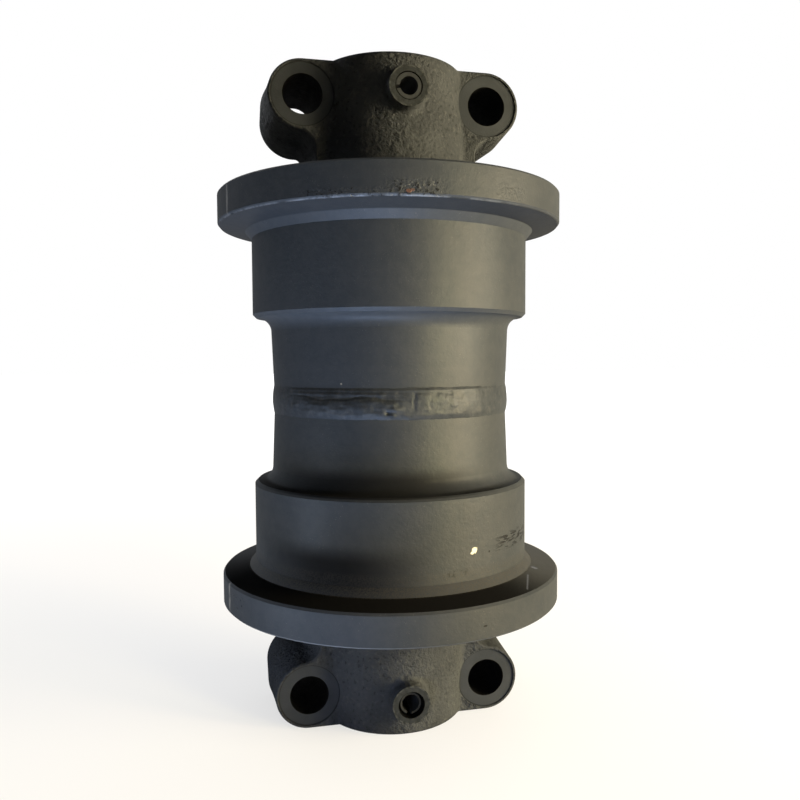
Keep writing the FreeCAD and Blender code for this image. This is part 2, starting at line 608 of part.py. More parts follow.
def collar():
    """A cast collar, then machined: mounting face, bolt holes and spot faces, bore and pin hole."""
    casting = hub_with_pin_boss().fuse([collar_ears(), web_fillet(1), web_fillet(-1)])
    block = 2 * (BOLT_OFFSET + EAR_RADIUS_AT_PARTING)
    mill_corner = Vector(-block / 2, MOUNTING_FACE_Y, FOOT_TOP + MOUNTING_FACE_INSET)
    mill = Part.makeBox(block, FOOT_RADIUS, COLLAR_END, mill_corner)
    cutters = [mill, collar_bore()]
    for side in (1, -1):
        x = side * BOLT_OFFSET
        cutters.append(
            cylinder_along_y(BOLT_HOLE_RADIUS, x, BOLT_HEIGHT, -EAR_FRONT_Y - BEYOND, MOUNTING_FACE_Y + BEYOND)
        )
        cutters.append(
            cylinder_along_y(SPOT_FACE_RADIUS, x, BOLT_HEIGHT, -PIN_BOSS_FACE_Y, -SPOT_FACE_Y)
        )
    cutters.append(
        cylinder_along_y(
            PIN_HOLE_RADIUS, 0, PIN_HEIGHT, -PIN_BOSS_FACE_Y - BEYOND, MOUNTING_FACE_Y + BEYOND
        )
    )
    return casting.cut(cutters).removeSplitter()


def lock_pin(end, recess, chamfer, slot_width, slot_angle):
    """A slotted spring pin through collar and axle, recess deep in its boss; end is 1 above, -1 below."""
    tip = PIN_RADIUS - chamfer
    tube = revolved([
        sharp(PIN_BORE_RADIUS, 0),
        sharp(tip, 0),
        sharp(PIN_RADIUS, PIN_CHAMFER_LENGTH),
        sharp(PIN_RADIUS, PIN_LENGTH - PIN_CHAMFER_LENGTH),
        sharp(tip, PIN_LENGTH),
        sharp(PIN_BORE_RADIUS, PIN_LENGTH),
    ])
    slot = Part.makeBox(PIN_RADIUS + BEYOND, slot_width, PIN_LENGTH, Vector(0, -slot_width / 2, 0))
    slot.rotate(ORIGIN, Z_LINE, -slot_angle)
    pin = tube.cut(slot)
    pin.rotate(ORIGIN, Vector(1, 0, 0), -90)
    pin.translate(Vector(0, recess - PIN_BOSS_FACE_Y, COLLAR_END + end * PIN_HEIGHT))
    return pin


def plug_axis(height):
    """A point on the filler plug's line."""
    return Vector(OIL_HOLE_OFFSET, 0, height)


def oil_plug():
    """The filler plug in the axle's upper end: round head with a hexagon socket, and a threaded shank."""
    seat = AXLE_HALF_LENGTH - PLUG_POCKET_DEPTH
    under_head = seat + PLUG_WASHER_THICKNESS
    head_top = under_head + PLUG_HEAD_HEIGHT
    head = Part.makeCylinder(PLUG_HEAD_RADIUS, PLUG_HEAD_HEIGHT, plug_axis(under_head))
    shank = Part.makeCylinder(PLUG_SHANK_RADIUS, PLUG_SHANK_LENGTH, plug_axis(under_head - PLUG_SHANK_LENGTH))
    across_corners = PLUG_SOCKET_FLATS / math.cos(math.pi / 6)
    corners = []
    for i in range(7):
        angle = math.pi / 3 * i
        turn = Vector(math.cos(angle), math.sin(angle), 0) * (across_corners / 2)
        corners.append(plug_axis(head_top - PLUG_SOCKET_DEPTH) + turn)
    socket = Part.Face(Part.makePolygon(corners)).extrude(Vector(0, 0, PLUG_SOCKET_DEPTH + BEYOND))
    return head.fuse(shank).cut(socket).removeSplitter()


def oil_plug_washer():
    """The sealing washer under the filler plug's head."""
    seat = AXLE_HALF_LENGTH - PLUG_POCKET_DEPTH
    disc = Part.makeCylinder(PLUG_WASHER_RADIUS, PLUG_WASHER_THICKNESS, plug_axis(seat))
    hole = Part.makeCylinder(
        PLUG_SHANK_RADIUS + PLUG_THREAD_CLEARANCE, PLUG_WASHER_THICKNESS, plug_axis(seat)
    )
    return disc.cut(hole)


def all_pieces():
    """Every piece by name, in its place in the standing roller."""
    pieces = {
        "roller_shell": upper(roller_shell()),
        "axle": upper(axle()),
        "upper_lock_pin": lock_pin(
            1, UPPER_PIN_RECESS, UPPER_PIN_END_CHAMFER, UPPER_PIN_SLOT_WIDTH, UPPER_PIN_SLOT_ANGLE
        ),
        "lower_lock_pin": lock_pin(
            -1, LOWER_PIN_RECESS, LOWER_PIN_END_CHAMFER, LOWER_PIN_SLOT_WIDTH, LOWER_PIN_SLOT_ANGLE
        ),
        "oil_plug": upper(oil_plug()),
        "oil_plug_washer": upper(oil_plug_washer()),
    }
    each_end = {
        "bushing": bushing(),
        "shell_seal_ring": revolved(seal_ring_corners(-1)),
        "collar_seal_ring": revolved(seal_ring_corners(1)),
        "shell_toric": toric(-1),
        "collar_toric": toric(1),
        "axle_o_ring": o_ring(),
        "collar": collar(),
    }
    for name, shape in each_end.items():
        pieces["upper_" + name] = upper(shape)
        pieces["lower_" + name] = lower(shape)
    return pieces


def main():
    os.makedirs("parts", exist_ok=True)
    for name, shape in all_pieces().items():
        shape.exportStep(os.path.join("parts", name + ".step"))
        print(f"{name}: {len(shape.Solids)} solid, {shape.Volume / 1000:.1f} cm3, valid {shape.isValid()}")


main()
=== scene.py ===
import json
import math

import bpy
from mathutils import Matrix, Vector, noise


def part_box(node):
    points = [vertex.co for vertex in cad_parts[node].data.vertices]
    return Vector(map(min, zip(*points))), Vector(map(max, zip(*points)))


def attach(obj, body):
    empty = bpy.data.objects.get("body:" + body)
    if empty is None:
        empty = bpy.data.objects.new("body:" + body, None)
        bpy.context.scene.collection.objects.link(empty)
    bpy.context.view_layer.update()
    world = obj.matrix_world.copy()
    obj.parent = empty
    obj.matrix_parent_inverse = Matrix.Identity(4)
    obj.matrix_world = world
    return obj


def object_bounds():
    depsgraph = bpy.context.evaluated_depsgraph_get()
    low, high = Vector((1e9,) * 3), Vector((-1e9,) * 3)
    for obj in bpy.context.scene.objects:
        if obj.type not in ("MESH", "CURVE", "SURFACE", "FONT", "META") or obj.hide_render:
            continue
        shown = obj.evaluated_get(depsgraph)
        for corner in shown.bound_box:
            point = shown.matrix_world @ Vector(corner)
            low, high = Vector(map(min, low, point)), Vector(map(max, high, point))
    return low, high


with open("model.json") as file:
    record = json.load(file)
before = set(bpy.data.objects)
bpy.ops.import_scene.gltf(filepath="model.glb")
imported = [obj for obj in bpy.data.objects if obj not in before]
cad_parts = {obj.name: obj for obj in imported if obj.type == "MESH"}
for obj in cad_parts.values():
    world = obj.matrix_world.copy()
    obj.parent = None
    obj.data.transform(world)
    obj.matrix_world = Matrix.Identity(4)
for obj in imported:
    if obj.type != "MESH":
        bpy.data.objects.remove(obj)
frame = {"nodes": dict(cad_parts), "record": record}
cad_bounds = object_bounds()

MM = 0.001

# The camera, in the object's frame. Yaw runs from +Y towards +X, pitch looks down, roll turns the frame clockwise.
CAMERA_PLACE = Vector((-0.1064, -0.4992, 0.2337))
CAMERA_YAW = math.radians(12.79)
CAMERA_PITCH = math.radians(3.09)
CAMERA_ROLL = math.radians(0.295)
CAMERA_LENS = 34.48
SENSOR_WIDTH = 36.0
CLIP_START = 0.01
CLIP_END = 50.0

# Places on the collars and the axle, in metres
mounts = {mount["name"]: mount for mount in frame["record"]["mounts"]}
bolt_dims = mounts["frame_bolts"]["dims"]
MIDDLE = mounts["frame_bolts"]["pos_m"][2]
MOUNTING_FACE_Y = mounts["frame_bolts"]["pos_m"][1]
BOLT_X = bolt_dims["spacing_x_mm"] * MM / 2
BOLT_RISE = bolt_dims["spacing_y_mm"] * MM / 2
BOLT_HOLE_RADIUS = bolt_dims["hole_r_mm"] * MM
END_RISE = cad_bounds[1][2] - MIDDLE
PIN_BOSS_FACE_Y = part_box("upper_collar")[0][1]
PIN_RISE = (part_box("upper_lock_pin")[0][2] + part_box("upper_lock_pin")[1][2]) / 2 - MIDDLE
PIN_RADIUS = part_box("upper_lock_pin")[1][0]
PIN_BOSS_RIM_RADIUS = 0.0116
SPOT_FACE_Y = -0.0257
SPOT_FACE_RADIUS = 0.0194
AXLE_PAINTED_END = 0.007        # length at each end of the axle that is painted

# The spool's turned surfaces, in millimetres from the axle (radius) and from the middle (rise)
FLANGE_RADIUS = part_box("roller_shell")[1][0] / MM
FLANGE_FAR_RISE = (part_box("roller_shell")[1][2] - MIDDLE) / MM
FLANGE_RIM_START = 109.0        # radius beyond which only the rim lies
FLANGE_FACE_START = 93.0        # radius beyond which the inner faces run
BEVEL_RADIUS = 109.6
BEVEL_RISE = 109.6
TREAD_RADIUS = 89.0
TREAD_INNER_RISE = 53.0

# Paint and wear, as linear colours
PAINT_DARK = (0.066, 0.074, 0.084)
PAINT_LIGHT = (0.078, 0.085, 0.094)
PAINT_WORN = (0.125, 0.128, 0.130)
# Dust, and also the colour of a painted highlight on a ledge
DUST_AND_HIGHLIGHT = (0.20, 0.20, 0.19)
# Dark chips, and also the colour of the spool's painted shade
CHIP_DARK_AND_SHADE = (0.022, 0.022, 0.023)
BARE_CHIP = (0.58, 0.57, 0.49)
# Scuffs, and also the colour of the rims' painted reflections
SCUFF_AND_REFLECTION = (0.17, 0.17, 0.165)
RUST = (0.22, 0.125, 0.10)
ROOT_DUST = (0.105, 0.095, 0.078)
# Rubbed bare edges, and also the colour of the bevel's painted highlight
BARE_EDGE_AND_HIGHLIGHT = (0.22, 0.24, 0.27)
CAST_DARK = (0.075, 0.081, 0.088)
CAST_LIGHT = (0.098, 0.106, 0.114)
# Worn cast skin, and also the colour of the pin bosses' painted highlight
CAST_WORN_AND_HIGHLIGHT = (0.16, 0.168, 0.165)
MACHINED_DARK = (0.073, 0.081, 0.091)
MACHINED_LIGHT = (0.090, 0.099, 0.111)
BOSS_PAINT = (0.048, 0.053, 0.055)
# Dark pits in the cast skin, and also the colour of the collars' painted shade
PIT_AND_SHADE_BLACK = (0.006, 0.006, 0.006)
STEEL_DARK = (0.25, 0.25, 0.26)
STEEL_LIGHT = (0.38, 0.38, 0.39)
PIN_PAINT = (0.052, 0.056, 0.058)
PLUG_PAINT = (0.06, 0.06, 0.06)
BRONZE = (0.6, 0.42, 0.2)
RUBBER = (0.02, 0.02, 0.02)

# Share of the paint that reflects as metal does, for its satin gloss
PAINT_GLOSS = 0.16

# Marks on the spool, and places of painted shade, painted highlights and painted reflections. Angles run from -Y
# towards +X in degrees, heights from the middle in millimetres.
# A patch has an angle, half angle, height and half height. In a list, its strength follows.
# Where the upper flange's bevel gets its painted highlight.
BEVEL_HIGHLIGHT_PATCH = (-30.0, 58.0, 109.6, 8.0)
BARE_EDGE_PATCH = (-20.0, 60.0, -129.5, 8.0)
# Painted shade on the faces that look up in the lower half, most of all the lower flange's upper face.
LEDGE_SHADE_PATCH = (-25.0, 80.0, -100.0, 60.0)
# A painted highlight: the right of the lower flange's upper face, made lighter.
LEDGE_HIGHLIGHT_PATCH = (90.0, 50.0, -107.0, 6.0)
SCRATCHED_PATCH = (46.5, 14.0, -84.0, 5.0)
CHIPPED_PATCHES = (
    (-4.5, 8.5, 112.5, 6.5, 1.0),
    (-20.0, 18.0, 111.5, 3.5, 0.85),
    (26.0, 6.0, 115.0, 5.0, 0.6),
    (-68.0, 5.0, -119.0, 6.0, 0.7),
)
SPOTTED_PATCHES = (
    (13.0, 5.0, -96.5, 2.2, 0.6),
    (-38.0, 9.0, -98.5, 2.5, 0.6),
)
# A stripe has an angle, its flat half and its fade, then the same three for the height.
# Both stripes are painted shade: one on the lower tread near its flange, one at the lower end of the neck.
TREAD_SHADE_STRIPE = (-34.0, 4.0, 40.0, -95.0, 5.0, 13.0)
NECK_SHADE_STRIPE = (-22.0, 14.0, 52.0, -49.0, 4.0, 10.0)
# A spot has an angle and a height, then its half width and half height in millimetres. Its strength follows.
RIM_GAP = (-21.7, 110.4, 1.2, 0.6)
PALE_DOT = (-33.5, 11.4, 0.6, 0.55)
# Pale strips at the rims' left edges, painted reflections.
RIM_REFLECTIONS = (
    (-71.2, 119.0, 1.5, 10.5, 0.4),
    (-75.5, -118.0, 2.0, 9.5, 0.7),
)
DARK_DOTS = (
    (28.4, -87.3, 0.7, 0.6, 1.0),
    (16.1, -121.4, 1.5, 0.6, 1.0),
)
CHIP_SPOTS = (
    (20.9, -84.9, 1.9, 1.9, 1.0),
    (19.7, -86.3, 1.4, 0.9, 1.0),
)
RUST_SPOTS = (
    (-6.6, 112.3, 1.5, 1.1, 1.0),
    (-5.6, 112.9, 1.2, 0.8, 0.7),
)
# A line on the lower flange's upper face has its two ends, x and y in millimetres, a half width and a strength.
FACE_SCUFFS = (
    ((72.8, -62.9), (63.2, -85.4), 0.55, 0.6),
    ((81.6, -47.6), (83.8, -50.8), 1.6, 0.8),
)

# The weld round the waist, in millimetres and degrees, measured as the marks are
WELD_HALF_WIDTH = 8.4
WELD_CROWN_RADIUS = 76.9
WELD_TOE_RADIUS = 75.99
WELD_ROOT_RADIUS = 74.8
WELD_LAP_OVER_TOE = 0.5         # how far the bead's edge reaches past the band below it
WELD_EDGE_FADE = 0.9
WELD_SINK = 0.02                # how far the bead's flat edge lies under the band
WELD_LEAST_RISE = 0.03
WELD_STEPS_AROUND = 1000
WELD_STEPS_ACROSS = 44
# Stretches along the weld: start, end and how softly it ends
RAW_STRETCHES = ((-58, -8, 22), (96, 131, 20), (-178, -120, 24))
DRESSED_STRETCHES = ((-6, 34, 6), (60, 96, 10))
# Ridges along the toes: the stretch, then height, half height and rise
WELD_RIDGES = (
    ((-62, 44, 8), 7.6, 0.7, 0.28),
    ((-20, 30, 8), -6.6, 1.6, 0.20),
)
# A block that the grinder left: its stretches along and across the weld, and its rise
GROUND_BLOCK = ((-1.6, 5.4, 1.4), (-4.5, 5.5, 2.5), 0.20)
# Grinder cuts across the weld: how much they waver, the angle, half angle, stretch across the weld and depth
GRINDER_CUTS = (
    (0.5, -1.4, 0.8, (-4.2, 5.8, 3), 0.34),
    (0.8, 5.4, 0.8, (-3.2, 1.6, 2), 0.20),
)
# A lumpy place: its stretches along and across the weld, and its rise
LUMPY_PLACE = ((9, 28, 8), (-6, 7, 4), 0.42)
# Pits and a drop of metal: angle, half angle, height, half height and rise
PITS_AND_DROPS = (
    (15.3, 0.7, 5.7, 0.8, -0.7),
    (-12.9, 0.9, -5.2, 0.8, -1.2),
    (-10.8, 1.3, -6.9, 0.9, 0.8),
)

# Floor and world. Both are white to the camera and in reflections.
FLOOR_HALF_WIDTH = 12.0
FLOOR_COLOUR = (0.8, 0.8, 0.8)
FLOOR_OPEN_SKY = (0.4, 0.4, 0.4)        # how much of the white sky the floor shows where nothing shades it
FLOOR_NEAR_GLOW = 0.62
FLOOR_FAR_GLOW = 1.0
FLOOR_GLOW_START = 0.3
FLOOR_GLOW_END = 2.5
WORLD_FILL = 0.005
WORLD_FILL_COLOUR = (0.8, 0.9, 1.0)
WHITE = (1.0, 1.0, 1.0)

# Light colours
EVENING_SUN = (1.0, 0.84, 0.53)
SUN_GLOW_FRONT = (1.0, 0.84, 0.40)
SUN_GLOW_SIDE = (1.0, 0.68, 0.34)
GROUND_BLUE = (0.55, 0.70, 1.0)
GROUND_DEEP_BLUE = (0.52, 0.64, 1.0)
GROUND_PALE = (0.80, 0.88, 1.0)
SKY_WHITE = (1.0, 0.97, 0.95)


def add_camera():
    """The photograph's camera."""
    data = bpy.data.cameras.new("camera")
    data.lens = CAMERA_LENS
    data.sensor_width = SENSOR_WIDTH
    data.clip_start = CLIP_START
    data.clip_end = CLIP_END
    camera = bpy.data.objects.new("camera", data)
    bpy.context.scene.collection.objects.link(camera)
    turn = (
        Matrix.Rotation(-CAMERA_YAW, 4, "Z")
        @ Matrix.Rotation(math.pi / 2 - CAMERA_PITCH, 4, "X")
        @ Matrix.Rotation(-CAMERA_ROLL, 4, "Z")
    )
    camera.matrix_world = Matrix.Translation(CAMERA_PLACE) @ turn
    bpy.context.scene.camera = camera


class Graph:
    """A short way to write shader nodes. Inputs are sockets, numbers, vectors or colours."""

    def __init__(self, tree):
        self.tree = tree
        self.tree.nodes.clear()

    def node(self, kind, inputs=None, **settings):
        made = self.tree.nodes.new(kind)
        for key, value in settings.items():
            setattr(made, key, value)
        for key, value in (inputs or {}).items():
            self.feed(made.inputs[key], value)
        return made

    def feed(self, socket, value):
        if isinstance(value, bpy.types.NodeSocket):
            self.tree.links.new(value, socket)
        elif isinstance(value, (tuple, list)) and len(value) == 3 and socket.type == "RGBA":
            socket.default_value = (*value, 1.0)
        else:
            socket.default_value = value

    def math(self, operation, first, second=0.0):
        return self.node("ShaderNodeMath", {0: first, 1: second}, operation=operation).outputs[0]

    def chain(self, operation, values):
        result = values[0]
        for value in values[1:]:
            result = self.math(operation, result, value)
        return result

    def largest(self, *values):
        return self.chain("MAXIMUM", values)

    def product(self, *values):
        return self.chain("MULTIPLY", values)

    def total(self, *values):
        return self.chain("ADD", values)

    def minus(self, first, second):
        return self.math("SUBTRACT", first, second)

    def over(self, first, second):
        return self.math("DIVIDE", first, second)

    def length(self, first, second):
        """Length of the vector that has these two parts."""
        return self.math("SQRT", self.total(self.product(first, first), self.product(second, second)))

    def place(self):
        return self.node("ShaderNodeTexCoord").outputs["Object"]

    def split(self, vector):
        return self.node("ShaderNodeSeparateXYZ", {0: vector}).outputs

    def noise(self, vector, scale, detail=4.0, roughness=0.55):
        inputs = {"Vector": vector, "Scale": scale, "Detail": detail, "Roughness": roughness}
        return self.node("ShaderNodeTexNoise", inputs).outputs[0]

    def stretched(self, vector, scale):
        return self.node("ShaderNodeMapping", {"Vector": vector, "Scale": scale}).outputs[0]

    def ramp(self, value, low, high, start=0.0, end=1.0):
        inputs = {"Value": value, "From Min": low, "From Max": high, "To Min": start, "To Max": end}
        return self.node("ShaderNodeMapRange", inputs, interpolation_type="SMOOTHSTEP").outputs[0]

    def near(self, value, centre, reach, soft):
        """1 where value lies within reach of centre, fading to 0 over soft."""
        off = self.math("ABSOLUTE", self.minus(value, centre))
        return self.ramp(off, reach, reach + soft, 1.0, 0.0)

    def off_line(self, first, second, first_centre=0.0, second_centre=0.0):
        """Distance from a line that runs along the third axis."""
        return self.length(self.minus(first, first_centre), self.minus(second, second_centre))

    def mix(self, share, first, second):
        # The node's sockets 6 and 7 and its output 2 are those for colours.
        return self.node("ShaderNodeMix", {0: share, 6: first, 7: second}, data_type="RGBA").outputs[2]

    def layered(self, colour, *layers):
        """Lays colours over a first one. Each layer is a mask and a colour."""
        for mask, layer in layers:
            colour = self.mix(mask, colour, layer)
        return colour

    def bump(self, height, distance, strength=1.0, under=None):
        inputs = {"Height": height, "Distance": distance, "Strength": strength}
        if under is not None:
            inputs["Normal"] = under
        return self.node("ShaderNodeBump", inputs).outputs[0]

    def surface(self, **inputs):
        shader = self.node("ShaderNodeBsdfPrincipled")
        for key, value in inputs.items():
            self.feed(shader.inputs[key.replace("_", " ")], value)
        self.node("ShaderNodeOutputMaterial", {0: shader.outputs[0]})

    def seen_white(self):
        """1 for the camera's rays and for reflected and transmitted ones."""
        path = self.node("ShaderNodeLightPath").outputs
        return self.largest(path["Is Camera Ray"], path["Is Glossy Ray"], path["Is Transmission Ray"])


def new_material(name):
    material = bpy.data.materials.new(name)
    material.use_nodes = True
    return material, Graph(material.node_tree)


class SpoolSkin:
    """Places and masks on the spool's skin, and the noises that the layers of its paint share."""

    def __init__(self, g):
        self.g = g
        self.place = g.place()
        x, y, z = g.split(self.place)
        self.angle = g.product(g.math("ARCTAN2", x, g.product(y, -1.0)), 180 / math.pi)
        self.height = g.over(g.minus(z, MIDDLE), MM)
        self.radius = g.over(g.off_line(x, y), MM)
        self.x = g.over(x, MM)
        self.y = g.over(y, MM)
        self.ragged = g.product(g.minus(g.noise(self.place, 700.0, 3.0), 0.5), 3.0)
        self.cloud = g.noise(self.place, 16.0, 6.0, 0.6)
        self.streak = g.noise(g.stretched(self.place, (3.0, 3.0, 160.0)), 1.0, 3.0)
        self.dust = g.noise(self.place, 1300.0, 2.0, 0.6)
        self.mottle = g.noise(self.place, 150.0, 4.0, 0.65)
        crumbs = g.noise(self.place, 480.0, 3.0, 0.6)
        clumps = g.noise(self.place, 200.0, 2.0)
        self.crumbs = g.total(crumbs, g.product(g.minus(clumps, 0.5), 0.35))

    def upper_half(self):
        return self.g.ramp(self.height, 0.0, 1.0)

    def lower_half(self):
        return self.g.ramp(self.height, 0.0, -1.0)

    def facing_up(self):
        """1 on ledges, from the direction of the skin itself."""
        normal = self.g.node("ShaderNodeTexCoord").outputs["Normal"]
        return self.g.ramp(self.g.split(normal)[2], 0.74, 0.96)

    def stripe(self, angle, flat_angle, fade_angle, height, flat_height, fade_height):
        """1 over a stretch of the skin, with a fade of its own each way."""
        across = self.g.near(self.angle, angle, flat_angle, fade_angle)
        return self.g.product(across, self.g.near(self.height, height, flat_height, fade_height))

    def patch(self, angle, half_angle, height, half_height):
        """1 over a soft-edged stretch of the skin."""
        flat_angle = half_angle * 0.6
        flat_height = half_height * 0.6
        return self.stripe(angle, flat_angle, flat_angle, height, flat_height, flat_height)

    def spot(self, angle, height, half_width, half_height):
        """1 inside a ragged ellipse on a face that runs round the spool."""
        g = self.g
        arc = g.product(g.minus(self.angle, angle), math.radians(1.0))
        across = g.over(g.product(arc, self.radius), half_width)
        along = g.over(g.minus(self.height, height), half_height)
        off = g.total(g.length(across, along), g.product(self.ragged, 0.35))
        return g.ramp(off, 0.75, 1.15, 1.0, 0.0)

    def line(self, start, end, half_width):
        """1 along a straight line between two points, seen along the axle."""
        g = self.g
        run = Vector(end) - Vector(start)
        length = run.length
        run /= length
        off_x = g.minus(self.x, start[0])
        off_y = g.minus(self.y, start[1])
        along = g.total(g.product(off_x, run.x), g.product(off_y, run.y))
        across = g.minus(g.product(off_x, run.y), g.product(off_y, run.x))
        across = g.total(across, g.product(self.ragged, 0.3 * half_width))
        return g.product(
            g.near(across, 0.0, half_width * 0.6, half_width * 0.6),
            g.near(along, length / 2, length / 2 - 0.5, 1.0),
        )

    def edge(self, radius, rise, reach):
        """1 along a turned edge at both ends of the spool."""
        g = self.g
        off = g.length(g.minus(g.math("ABSOLUTE", self.height), rise), g.minus(self.radius, radius))
        return g.ramp(off, reach * 0.5, reach * 1.4, 1.0, 0.0)

    def strongest(self, mask, places):
        """The strongest of several masks of one kind. Each place ends with its strength."""
        g = self.g
        return g.largest(*(g.product(mask(*place), strength) for *place, strength in places))


def painted_shade_mask(g, skin, facing_up):
    """Painted shade on the lower flange's upper face, the lower tread and the end of the lower neck."""
    above_tread = g.ramp(skin.height, -TREAD_INNER_RISE - 0.5, -TREAD_INNER_RISE + 0.5)
    return g.largest(
        g.product(facing_up, skin.patch(*LEDGE_SHADE_PATCH)),
        g.product(skin.stripe(*TREAD_SHADE_STRIPE), 0.9),
        g.product(skin.stripe(*NECK_SHADE_STRIPE), above_tread, 0.8),
    )


def upper_shade_mask(g, skin):
    """The inner face of the upper flange, where the paint is darkened as painted shade."""
    face = g.near(g.math("ABSOLUTE", skin.height), 107.2, 2.9, 0.2)
    return g.product(face, g.ramp(skin.radius, FLANGE_FACE_START - 0.4, FLANGE_FACE_START + 0.4), skin.upper_half())


def worn_edges_mask(g, skin):
    """Thinner paint on the flanges' far edges and on the treads' inner ones."""
    far = g.product(skin.edge(FLANGE_RADIUS, FLANGE_FAR_RISE, 0.8), g.ramp(skin.cloud, 0.45, 0.6), 0.5)
    tread = g.product(skin.edge(TREAD_RADIUS, TREAD_INNER_RISE, 1.2), g.ramp(skin.streak, 0.4, 0.65), 0.5)
    return g.largest(far, tread)


def bevel_highlight_mask(g, skin):
    """The upper flange's bevel, lightened as bare metal along part of its front: a painted highlight line."""
    bevel = g.product(skin.edge(BEVEL_RADIUS, BEVEL_RISE, 0.9), skin.upper_half())
    broken = g.ramp(g.noise(skin.place, 55.0, 4.0, 0.7), 0.34, 0.62)
    return g.product(bevel, broken, skin.patch(*BEVEL_HIGHLIGHT_PATCH))


def bare_edge_mask(g, skin):
    """The lower flange's far edge, rubbed bare along its front."""
    edge = skin.edge(FLANGE_RADIUS, FLANGE_FAR_RISE, 0.9)
    return g.product(edge, skin.lower_half(), skin.patch(*BARE_EDGE_PATCH))


def chip_masks(g, skin):
    """Where the rims are chipped, and in there the dents and the crusts."""
    rim = g.ramp(skin.radius, FLANGE_RIM_START - 0.6, FLANGE_RIM_START)
    field = g.product(skin.strongest(skin.patch, CHIPPED_PATCHES), rim)
    fewer = g.product(g.minus(1.0, field), 0.25)
    inside = g.ramp(field, 0.02, 0.3)
    dents = g.product(g.ramp(g.minus(skin.crumbs, fewer), 0.55, 0.60), inside)
    crusts = g.product(g.ramp(g.total(skin.crumbs, fewer), 0.38, 0.35), inside)
    return field, dents, crusts


def scuff_and_reflection_mask(g, skin):
    """Pale rubbed lines on the lower flange's upper face, and pale strips on both rims' left edges that are painted
    reflections.
    """
    rim = g.ramp(skin.radius, FLANGE_RIM_START - 0.2, FLANGE_RIM_START + 0.4)
    rim_reflections = g.product(skin.strongest(skin.spot, RIM_REFLECTIONS), rim, g.ramp(skin.mottle, 0.35, 0.55, 0.4, 1.0))
    on_face = g.product(skin.strongest(skin.line, FACE_SCUFFS), g.near(skin.height, -107.5, 3.5, 0.2))
    return g.largest(rim_reflections, on_face)


def scratch_mask(g, skin):
    """Short scratches along the lower tread."""
    hatch = g.noise(g.stretched(skin.place, (120.0, 120.0, 620.0)), 1.0, 3.0)
    return g.product(skin.patch(*SCRATCHED_PATCH), g.ramp(hatch, 0.50, 0.55))


def spots_mask(g, skin):
    """Dark spots near the lower tread's root, and two single dots."""
    spots = g.product(skin.strongest(skin.patch, SPOTTED_PATCHES), g.ramp(skin.crumbs, 0.46, 0.66))
    return g.largest(spots, skin.strongest(skin.spot, DARK_DOTS))


def root_dust_mask(g, skin):
    """Dust in the root between the lower tread and its flange."""
    root = g.product(g.near(skin.height, -101.5, 4.0, 4.0), g.ramp(skin.radius, 88.5, 89.5))
    return g.product(root, g.ramp(skin.dust, 0.3, 0.65), g.ramp(skin.radius, 94.5, 93.5))


